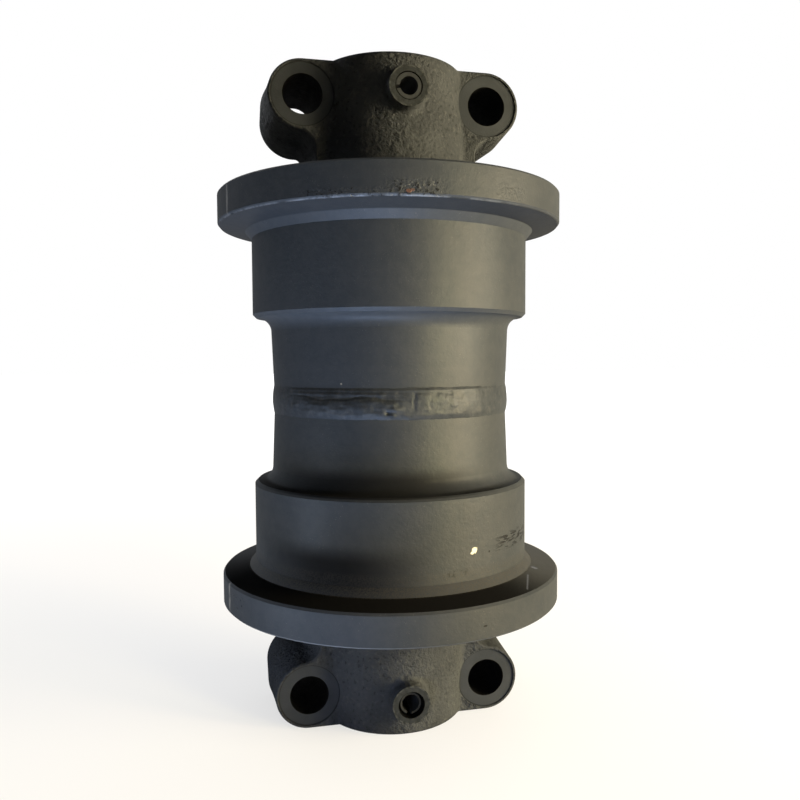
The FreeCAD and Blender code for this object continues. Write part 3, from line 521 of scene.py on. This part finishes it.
def shell_paint():
    """Satin dark grey paint over turned forgings, with dust, chips, scratches and a speck of rust, and with painted
    shade, painted highlights and painted reflections in its colour.
    """
    material, g = new_material("shell_paint")
    skin = SpoolSkin(g)
    facing_up = skin.facing_up()
    specks = g.product(g.ramp(skin.dust, 0.66, 0.74), g.ramp(g.noise(skin.place, 60.0, 3.0), 0.4, 0.65))
    painted_shade = painted_shade_mask(g, skin, facing_up)
    bevel_highlight = bevel_highlight_mask(g, skin)
    bare_edge = bare_edge_mask(g, skin)
    chip_field, dents, crusts = chip_masks(g, skin)
    rim_gap = skin.spot(*RIM_GAP)
    scuffs_and_reflections = scuff_and_reflection_mask(g, skin)
    scratches = scratch_mask(g, skin)
    pale_dot = skin.spot(*PALE_DOT)
    chip = skin.strongest(skin.spot, CHIP_SPOTS)
    rust = skin.strongest(skin.spot, RUST_SPOTS)

    colour = g.layered(
        g.mix(g.ramp(skin.cloud, 0.32, 0.72), PAINT_DARK, PAINT_LIGHT),
        (g.product(g.ramp(skin.streak, 0.45, 0.7), 0.05), PAINT_WORN),
        (g.ramp(skin.mottle, 0.35, 0.65, 0.0, 0.14), PAINT_WORN),
        (g.product(specks, 0.7), DUST_AND_HIGHLIGHT),
        # Painted shade on the upper flange's inner face, the lower flange's upper face, the lower tread and the
        # lower neck.
        (g.largest(g.product(upper_shade_mask(g, skin), 0.5), painted_shade), CHIP_DARK_AND_SHADE),
        # Painted highlight on the right of the lower flange's upper face.
        (g.product(facing_up, skin.patch(*LEDGE_HIGHLIGHT_PATCH), 0.4), DUST_AND_HIGHLIGHT),
        (worn_edges_mask(g, skin), PAINT_WORN),
        (bare_edge, BARE_EDGE_AND_HIGHLIGHT),
        (g.product(dents, 0.8), CHIP_DARK_AND_SHADE),
        (g.product(crusts, 0.9), DUST_AND_HIGHLIGHT),
        (g.product(rim_gap, 0.8), CHIP_DARK_AND_SHADE),
        # Scuffs on the lower flange's upper face, and painted reflections on the rims' left edges.
        (g.product(scuffs_and_reflections, 0.8), SCUFF_AND_REFLECTION),
        (g.product(root_dust_mask(g, skin), 0.5), ROOT_DUST),
        (g.product(g.largest(scratches, spots_mask(g, skin)), 0.8), CHIP_DARK_AND_SHADE),
        (pale_dot, SCUFF_AND_REFLECTION),
        (chip, BARE_CHIP),
        (g.product(rust, 0.9), RUST),
        # Painted highlight along the upper flange's bevel.
        (bevel_highlight, BARE_EDGE_AND_HIGHLIGHT),
    )

    # Bare metal at scuffs, the pale dot, the chip and the rubbed edge, and also under the painted reflections and
    # the painted highlight.
    bare_and_painted_light = g.largest(scuffs_and_reflections, pale_dot, g.product(g.largest(chip, bevel_highlight, bare_edge), 0.5))
    # Where the shade is painted, most of the paint's gloss is taken away too.
    gloss = g.total(g.product(painted_shade, -0.9 * PAINT_GLOSS), PAINT_GLOSS)
    roughness = g.total(
        g.ramp(skin.cloud, 0.3, 0.75, 0.42, 0.50),
        g.product(g.largest(dents, crusts, chip, rust), 0.25),
        g.product(specks, 0.15),
    )

    turned = g.noise(g.stretched(skin.place, (5.0, 5.0, 1100.0)), 1.0, 2.0)
    peel = g.noise(skin.place, 480.0, 3.0)
    normal = g.bump(turned, 0.00025, 0.06)
    normal = g.bump(peel, 0.0005, 0.26, normal)
    normal = g.bump(skin.mottle, 0.0008, 0.15, normal)
    normal = g.bump(g.product(g.minus(skin.crumbs, 0.5), chip_field), 0.0014, 0.5, normal)
    normal = g.bump(g.largest(rim_gap, scratches), -0.0006, 0.7, normal)
    normal = g.bump(g.largest(rust, chip), 0.0004, 0.6, normal)
    g.surface(
        Base_Color=colour,
        Roughness=roughness,
        Normal=normal,
        Metallic=g.total(g.product(bare_and_painted_light, 0.8), gloss),
        Specular_IOR_Level=0.0,
    )
    return material


def weld_paint():
    """The same paint over the weld, where it lies thicker, lighter and darker in random patches."""
    material, g = new_material("weld_paint")
    place = g.place()
    cloud = g.noise(place, 22.0, 5.0)
    mottle = g.noise(place, 240.0, 4.0, 0.6)
    colour = g.layered(
        g.mix(g.ramp(cloud, 0.32, 0.72), PAINT_DARK, PAINT_LIGHT),
        (g.product(g.ramp(mottle, 0.5, 0.68), 0.4), PAINT_WORN),
        (g.product(g.ramp(mottle, 0.46, 0.34), 0.22), CHIP_DARK_AND_SHADE),
    )
    normal = g.bump(g.noise(place, 300.0, 4.0), 0.0007, 0.3)
    normal = g.bump(g.noise(place, 900.0, 2.0), 0.0003, 0.2, normal)
    roughness = g.ramp(mottle, 0.3, 0.7, 0.34, 0.46)
    g.surface(Base_Color=colour, Roughness=roughness, Normal=normal, Metallic=PAINT_GLOSS, Specular_IOR_Level=0.0)
    return material


class CollarSkin:
    """Masks for a collar's machined faces and drilled holes, in metres from the roller's middle."""

    def __init__(self, g, place):
        x, self.y, z = g.split(place)
        self.g = g
        self.rise = g.math("ABSOLUTE", g.minus(z, MIDDLE))
        self.off_bolt = g.off_line(g.math("ABSOLUTE", x), self.rise, BOLT_X, BOLT_RISE)
        self.off_pin = g.off_line(x, self.rise, 0.0, PIN_RISE)

    def spot_face(self):
        g = self.g
        flat = g.near(self.y, SPOT_FACE_Y, 0.0002, 0.0001)
        return g.product(flat, g.ramp(self.off_bolt, SPOT_FACE_RADIUS, SPOT_FACE_RADIUS + 0.0002, 1.0, 0.0))

    def spot_face_edge_shade(self):
        """The thin line where the cutter left the cast skin, darkened as painted shade."""
        return self.g.product(self.spot_face(), self.g.near(self.off_bolt, SPOT_FACE_RADIUS, 0.0005, 0.0004))

    def up_to(self, value, limit):
        """1 up to a limit and just on it."""
        return self.g.ramp(value, limit + 0.0001, limit + 0.0003, 1.0, 0.0)

    def holes(self):
        return self.g.largest(self.up_to(self.off_bolt, BOLT_HOLE_RADIUS), self.up_to(self.off_pin, PIN_RADIUS))

    def milled_face(self):
        return self.g.ramp(self.y, MOUNTING_FACE_Y - 0.0002, MOUNTING_FACE_Y - 0.0001)

    def end_face(self):
        return self.g.ramp(self.rise, END_RISE - 0.0002, END_RISE - 0.0001)

    def boss_face(self):
        return self.up_to(self.y, PIN_BOSS_FACE_Y)

    def boss_rim(self):
        return self.g.product(self.g.near(self.off_pin, PIN_BOSS_RIM_RADIUS, 0.0004, 0.0004), self.boss_face())


def cast_paint():
    """Black paint over a sand-cast skin, smoother on machined faces, with the drilled holes made near black as
    painted shade.
    """
    material, g = new_material("cast_paint")
    place = g.place()
    skin = CollarSkin(g, place)
    holes = skin.holes()
    boss_face = skin.boss_face()
    flat = g.largest(skin.spot_face(), skin.milled_face(), skin.end_face(), boss_face)
    cast = g.minus(1.0, g.largest(flat, holes))

    lumps = g.noise(place, 95.0, 3.0)
    pebbles = g.noise(place, 430.0, 2.0, 0.5)
    sand = g.noise(place, 1000.0, 2.0, 0.5)
    cloud = g.noise(place, 40.0, 5.0)
    coarse = g.ramp(g.noise(place, 70.0, 3.0), 0.38, 0.62, 0.6, 1.0)
    light = g.ramp(cloud, 0.35, 0.7)
    colour = g.layered(
        g.mix(light, CAST_DARK, CAST_LIGHT),
        (g.product(g.ramp(pebbles, 0.56, 0.7), coarse, 0.35), CAST_WORN_AND_HIGHLIGHT),
        (g.product(g.ramp(pebbles, 0.42, 0.3), coarse, 0.4), PIT_AND_SHADE_BLACK),
        (flat, g.mix(light, MACHINED_DARK, MACHINED_LIGHT)),
        (g.product(boss_face, g.ramp(pebbles, 0.3, 0.7, 1.0, 0.6)), BOSS_PAINT),
        # Painted shade along the edge of each spot face.
        (g.product(skin.spot_face_edge_shade(), 0.4), PIT_AND_SHADE_BLACK),
        # A lighter broken ring on the pin boss's rim: wear, and a painted highlight.
        (g.product(skin.boss_rim(), g.ramp(pebbles, 0.4, 0.6), 0.5), CAST_WORN_AND_HIGHLIGHT),
        # Painted shade: the drilled holes made near black.
        (holes, PIT_AND_SHADE_BLACK),
    )

    rough_skin = g.product(g.largest(cast, g.product(boss_face, 0.35)), coarse, 0.8)
    rings = g.noise(g.stretched(place, (4.0, 1300.0, 4.0)), 1.0, 2.0)
    normal = g.bump(lumps, 0.003, g.product(cast, 0.5))
    normal = g.bump(pebbles, 0.0017, rough_skin, normal)
    normal = g.bump(sand, 0.0005, g.product(cast, 0.5), normal)
    normal = g.bump(sand, 0.0002, g.product(flat, 0.4), normal)
    normal = g.bump(rings, 0.0005, g.product(holes, 0.6), normal)
    g.surface(
        Base_Color=colour,
        Roughness=g.total(g.ramp(pebbles, 0.3, 0.7, 0.42, 0.6), g.product(holes, 0.3)),
        Normal=normal,
        Metallic=g.ramp(holes, 0.0, 1.0, 0.03, 0.2),
        Specular_IOR_Level=0.0,
    )
    return material


def axle_metal():
    """Ground steel inside, black paint on the axle's two ends."""
    material, g = new_material("axle_metal")
    place = g.place()
    cloud = g.noise(place, 160.0, 4.0)
    light = g.ramp(cloud, 0.35, 0.7)
    paint_start = END_RISE - AXLE_PAINTED_END
    painted = g.ramp(CollarSkin(g, place).rise, paint_start - MM, paint_start)
    turned = g.noise(g.stretched(place, (3.0, 3.0, 900.0)), 1.0, 2.0)
    g.surface(
        Base_Color=g.layered(
            g.mix(light, STEEL_DARK, STEEL_LIGHT),
            (painted, g.mix(light, MACHINED_DARK, MACHINED_LIGHT)),
        ),
        Roughness=g.total(g.ramp(cloud, 0.3, 0.7, 0.32, 0.45), g.product(painted, 0.15)),
        Metallic=g.ramp(painted, 0.0, 1.0, 1.0, 0.0),
        Normal=g.bump(g.total(turned, g.noise(place, 900.0, 3.0)), 0.0002, 0.3),
        Specular_IOR_Level=0.1,
    )
    return material


def plain_metal(name, colour, roughness, metallic=1.0):
    """An even material with fine cloudy wear, for pieces that hardly show."""
    material, g = new_material(name)
    place = g.place()
    cloud = g.noise(place, 160.0, 4.0)
    dark = tuple(part * 0.7 for part in colour)
    g.surface(
        Base_Color=g.mix(g.ramp(cloud, 0.35, 0.7), dark, colour),
        Roughness=g.ramp(cloud, 0.3, 0.7, roughness, roughness + 0.15),
        Metallic=metallic,
        Normal=g.bump(g.noise(place, 900.0, 3.0), 0.0002, 0.3),
        Specular_IOR_Level=0.1,
    )
    return material


def window(value, start, end, soft):
    """1 between start and end, fading to 0 over soft at each side."""
    rise = min(1.0, max(0.0, (value - start) / soft + 0.5))
    fall = min(1.0, max(0.0, (end - value) / soft + 0.5))
    share = min(rise, fall)
    return share * share * (3 - 2 * share)


def hump(value, centre, half_width):
    """1 on the centre, falling off as a bell curve."""
    return math.exp(-(((value - centre) / half_width) ** 2))


def in_stretches(value, stretches):
    return max(window(value, *stretch) for stretch in stretches)


def outward(turn):
    """Direction away from the axle, at an angle in radians."""
    return Vector((math.sin(turn), -math.cos(turn), 0))


def raw_rise(turn, height, raw, broad, fine):
    """Two rolled beads with a lap between them, where the weld is as it was laid."""
    ripple = noise.noise(Vector((turn * 11, height * 0.5, 5.0)))
    lap = 3.0 + 0.9 * math.sin(turn * 11) + 1.2 * broad
    lower_bead = max(0.0, 1 - ((height + 2.6) / (6.6 + broad)) ** 2)
    upper_bead = hump(height, 5.2, 1.6)
    rise = raw * lower_bead * (1.65 + 0.45 * broad + 0.45 * ripple + 0.16 * fine)
    rise += raw * upper_bead * (0.55 + 0.30 * broad + 0.12 * fine)
    return rise - raw * 0.45 * hump(height, lap, 0.6)


def ground_rise(angle, height, fine):
    """What the grinder left: a block, and the cuts beside it."""
    along, across, block_rise = GROUND_BLOCK
    rise = block_rise * window(angle, *along) * window(height, *across)
    for waver, centre, half_angle, stretch, depth in GRINDER_CUTS:
        rise -= depth * hump(angle + waver * fine, centre, half_angle) * window(height, *stretch)
    return rise


def lumpy_rise(spot, angle, height):
    """A patch of small lumps."""
    along, across, lump_rise = LUMPY_PLACE
    lumps = noise.noise(spot / 5.5) + 0.15 * noise.noise(spot / 2.0) + 0.1
    return window(angle, *along) * window(height, *across) * lump_rise * max(0.0, lumps)


def weld_height(angle, height):
    """Height of the weld's skin over the plain band, in millimetres, at that angle and height."""
    turn = math.radians(angle)
    spot = outward(turn) * WELD_CROWN_RADIUS + Vector((0, 0, height))
    broad = noise.noise(spot / 9.0)
    fine = noise.noise(spot / 2.6)
    raw = in_stretches(angle + 6 * noise.noise(spot / 5.0), RAW_STRETCHES)
    dressed = in_stretches(angle, DRESSED_STRETCHES)
    rise = 0.10 + 0.06 * fine + 0.06 * broad
    rise += raw_rise(turn, height, raw, broad, fine)
    rise += dressed * (0.22 + 0.14 * broad)
    for stretch, ridge_height, half_height, ridge_rise in WELD_RIDGES:
        rise += ridge_rise * window(angle, *stretch) * hump(height, ridge_height, half_height)
    rise += ground_rise(angle, height, fine)
    rise += lumpy_rise(spot, angle, height)
    for centre, half_angle, spot_height, half_height, spot_rise in PITS_AND_DROPS:
        rise += spot_rise * hump(angle, centre, half_angle) * hump(height, spot_height, half_height)
    return max(rise, WELD_LEAST_RISE)


def weld_skin(angle, height):
    """Radius of the weld's skin, in millimetres."""
    share = min(1.0, abs(height) / WELD_HALF_WIDTH)
    band = WELD_CROWN_RADIUS - (WELD_CROWN_RADIUS - WELD_TOE_RADIUS) * share ** 2
    wobble = 0.3 * noise.noise(Vector((math.radians(angle) * 9, height, 2.0)))
    edge = WELD_HALF_WIDTH + WELD_LAP_OVER_TOE
    on_bead = window(height, -edge + wobble, edge + wobble, WELD_EDGE_FADE)
    return band + weld_height(angle, height) * on_bead - WELD_SINK


def add_weld(paint):
    """The weld that joins the two forged halves, laid over the plain band of the spool."""
    edge = WELD_HALF_WIDTH + 2 * WELD_LAP_OVER_TOE
    rows = [-edge + 2 * edge * j / WELD_STEPS_ACROSS for j in range(WELD_STEPS_ACROSS + 1)]
    points = []
    for i in range(WELD_STEPS_AROUND):
        angle = -180 + 360 * i / WELD_STEPS_AROUND
        ring = [(weld_skin(angle, height), height) for height in rows]
        ring += [(WELD_ROOT_RADIUS, edge), (WELD_ROOT_RADIUS, -edge)]
        for radius, height in ring:
            spot = outward(math.radians(angle)) * radius + Vector((0, 0, height))
            points.append(spot * MM + Vector((0, 0, MIDDLE)))
    per_ring = len(rows) + 2
    faces = []
    for i in range(WELD_STEPS_AROUND):
        here = i * per_ring
        after = (i + 1) % WELD_STEPS_AROUND * per_ring
        for j in range(per_ring):
            k = (j + 1) % per_ring
            faces.append((here + j, after + j, after + k, here + k))
    mesh = bpy.data.meshes.new("weld_bead")
    mesh.from_pydata(points, [], faces)
    mesh.polygons.foreach_set("use_smooth", [True] * len(mesh.polygons))
    mesh.materials.append(paint)
    bead = bpy.data.objects.new("weld_bead", mesh)
    bpy.context.scene.collection.objects.link(bead)
    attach(bead, "roller")


def add_floor():
    """A wide pale floor that keeps the object's shadow and is white to the camera."""
    mesh = bpy.data.meshes.new("floor")
    half = FLOOR_HALF_WIDTH
    mesh.from_pydata([(-half, -half, 0), (half, -half, 0), (half, half, 0), (-half, half, 0)], [], [(0, 1, 2, 3)])
    floor = bpy.data.objects.new("floor", mesh)
    bpy.context.scene.collection.objects.link(floor)
    material, g = new_material("floor")
    x, y, _ = g.split(g.place())
    strength = g.ramp(g.off_line(x, y), FLOOR_GLOW_START, FLOOR_GLOW_END, FLOOR_NEAR_GLOW, FLOOR_FAR_GLOW)
    lit = g.node("ShaderNodeBsdfDiffuse", {"Color": FLOOR_COLOUR})
    open_sky = g.node(
        "ShaderNodeBsdfGlossy", {"Color": FLOOR_OPEN_SKY, "Roughness": 1.0}, distribution="MULTI_GGX"
    )
    glow = g.node("ShaderNodeEmission", {"Color": WHITE, "Strength": strength})
    both = g.node("ShaderNodeAddShader", {0: open_sky.outputs[0], 1: glow.outputs[0]})
    chosen = g.node("ShaderNodeMixShader", {0: g.seen_white(), 1: lit.outputs[0], 2: both.outputs[0]})
    g.node("ShaderNodeOutputMaterial", {0: chosen.outputs[0]})
    mesh.materials.append(material)


def add_world():
    """White to the camera and in reflections, a dim cool fill for the rest."""
    world = bpy.data.worlds.new("world")
    world.use_nodes = True
    g = Graph(world.node_tree)
    fill = g.node("ShaderNodeBackground", {0: WORLD_FILL_COLOUR, 1: WORLD_FILL})
    white = g.node("ShaderNodeBackground", {0: WHITE, 1: 1.0})
    chosen = g.node("ShaderNodeMixShader", {0: g.seen_white(), 1: fill.outputs[0], 2: white.outputs[0]})
    g.node("ShaderNodeOutputWorld", {0: chosen.outputs[0]})
    bpy.context.scene.world = world


def add_lamp(name, angle, distance, height, aim, size, watts, colour, spread=math.pi):
    """An area lamp turned to a point. Its angle is counted from the camera's side, towards the camera's right."""
    data = bpy.data.lights.new(name, "AREA")
    data.shape = "RECTANGLE"
    data.size, data.size_y = size
    data.energy = watts
    data.color = colour
    data.spread = spread
    lamp = bpy.data.objects.new(name, data)
    bpy.context.scene.collection.objects.link(lamp)
    away = outward(math.radians(angle) - CAMERA_YAW) * distance
    place = away + Vector((0, 0, height))
    direction = Vector(aim) - place
    lamp.matrix_world = Matrix.Translation(place) @ direction.to_track_quat("-Z", "Y").to_matrix().to_4x4()
    lamp.visible_camera = False
    return lamp


def add_lights():
    """A warm key from the right, two strips that widen its sheen, cool light off the ground, one lamp for an ear."""
    middle = (0, 0, MIDDLE)
    add_lamp("key", angle=76, distance=1.3, height=0.26, aim=middle, size=(0.6, 0.6), watts=31.0, colour=EVENING_SUN)
    for name, angle, watts, colour in (
        ("sheen_front", 46, 22.5, SUN_GLOW_FRONT),
        ("sheen_side", 66, 15.0, SUN_GLOW_SIDE),
    ):
        strip = add_lamp(
            name, angle, distance=1.3, height=0.2, aim=middle, size=(0.25, 0.6), watts=watts, colour=colour
        )
        strip.visible_diffuse = False
    add_lamp(
        "low_front", angle=-14, distance=0.165, height=0.004, aim=(-0.03, -0.08, 1.0),
        size=(0.34, 0.06), watts=0.29, colour=GROUND_BLUE, spread=1.2,
    )
    add_lamp(
        "low_left", angle=-66, distance=0.6, height=0.03, aim=(-0.06, 0, 0.11),
        size=(0.45, 0.05), watts=0.06, colour=GROUND_PALE, spread=0.42,
    )
    add_lamp(
        "ear_left", angle=-112, distance=0.36, height=0.60, aim=(-0.085, 0, 0.395),
        size=(0.08, 0.08), watts=0.021, colour=SKY_WHITE, spread=0.35,
    )
    add_lamp(
        "low_collar", angle=-20, distance=0.5, height=0.02, aim=(0, 0, 0.03),
        size=(0.5, 0.03), watts=0.04, colour=GROUND_DEEP_BLUE, spread=0.5,
    )


def dress_cad_nodes():
    """Gives every node of the frame its material."""
    steel = plain_metal("plain_steel", STEEL_LIGHT, roughness=0.35)
    by_slot = {
        "shell_paint": shell_paint(),
        "collar_paint": cast_paint(),
        "pin_steel": plain_metal("pin_paint", PIN_PAINT, roughness=0.45, metallic=0.12),
        "plug_steel": plain_metal("plug_paint", PLUG_PAINT, roughness=0.45, metallic=0.3),
        "axle_steel": axle_metal(),
        "seal_steel": steel,
        "plug_washer": steel,
        "bushing_bronze": plain_metal("bushing_bronze", BRONZE, roughness=0.3),
        "rubber": plain_metal("rubber", RUBBER, roughness=0.7, metallic=0.0),
    }
    for part in frame["record"]["subparts"]:
        node = frame["nodes"][part["node"]]
        for slot in node.material_slots:
            slot.material = by_slot[part["material_slot"]]


bpy.context.scene.view_settings.view_transform = "Standard"
add_camera()
add_world()
add_floor()
add_lights()
dress_cad_nodes()
add_weld(weld_paint())
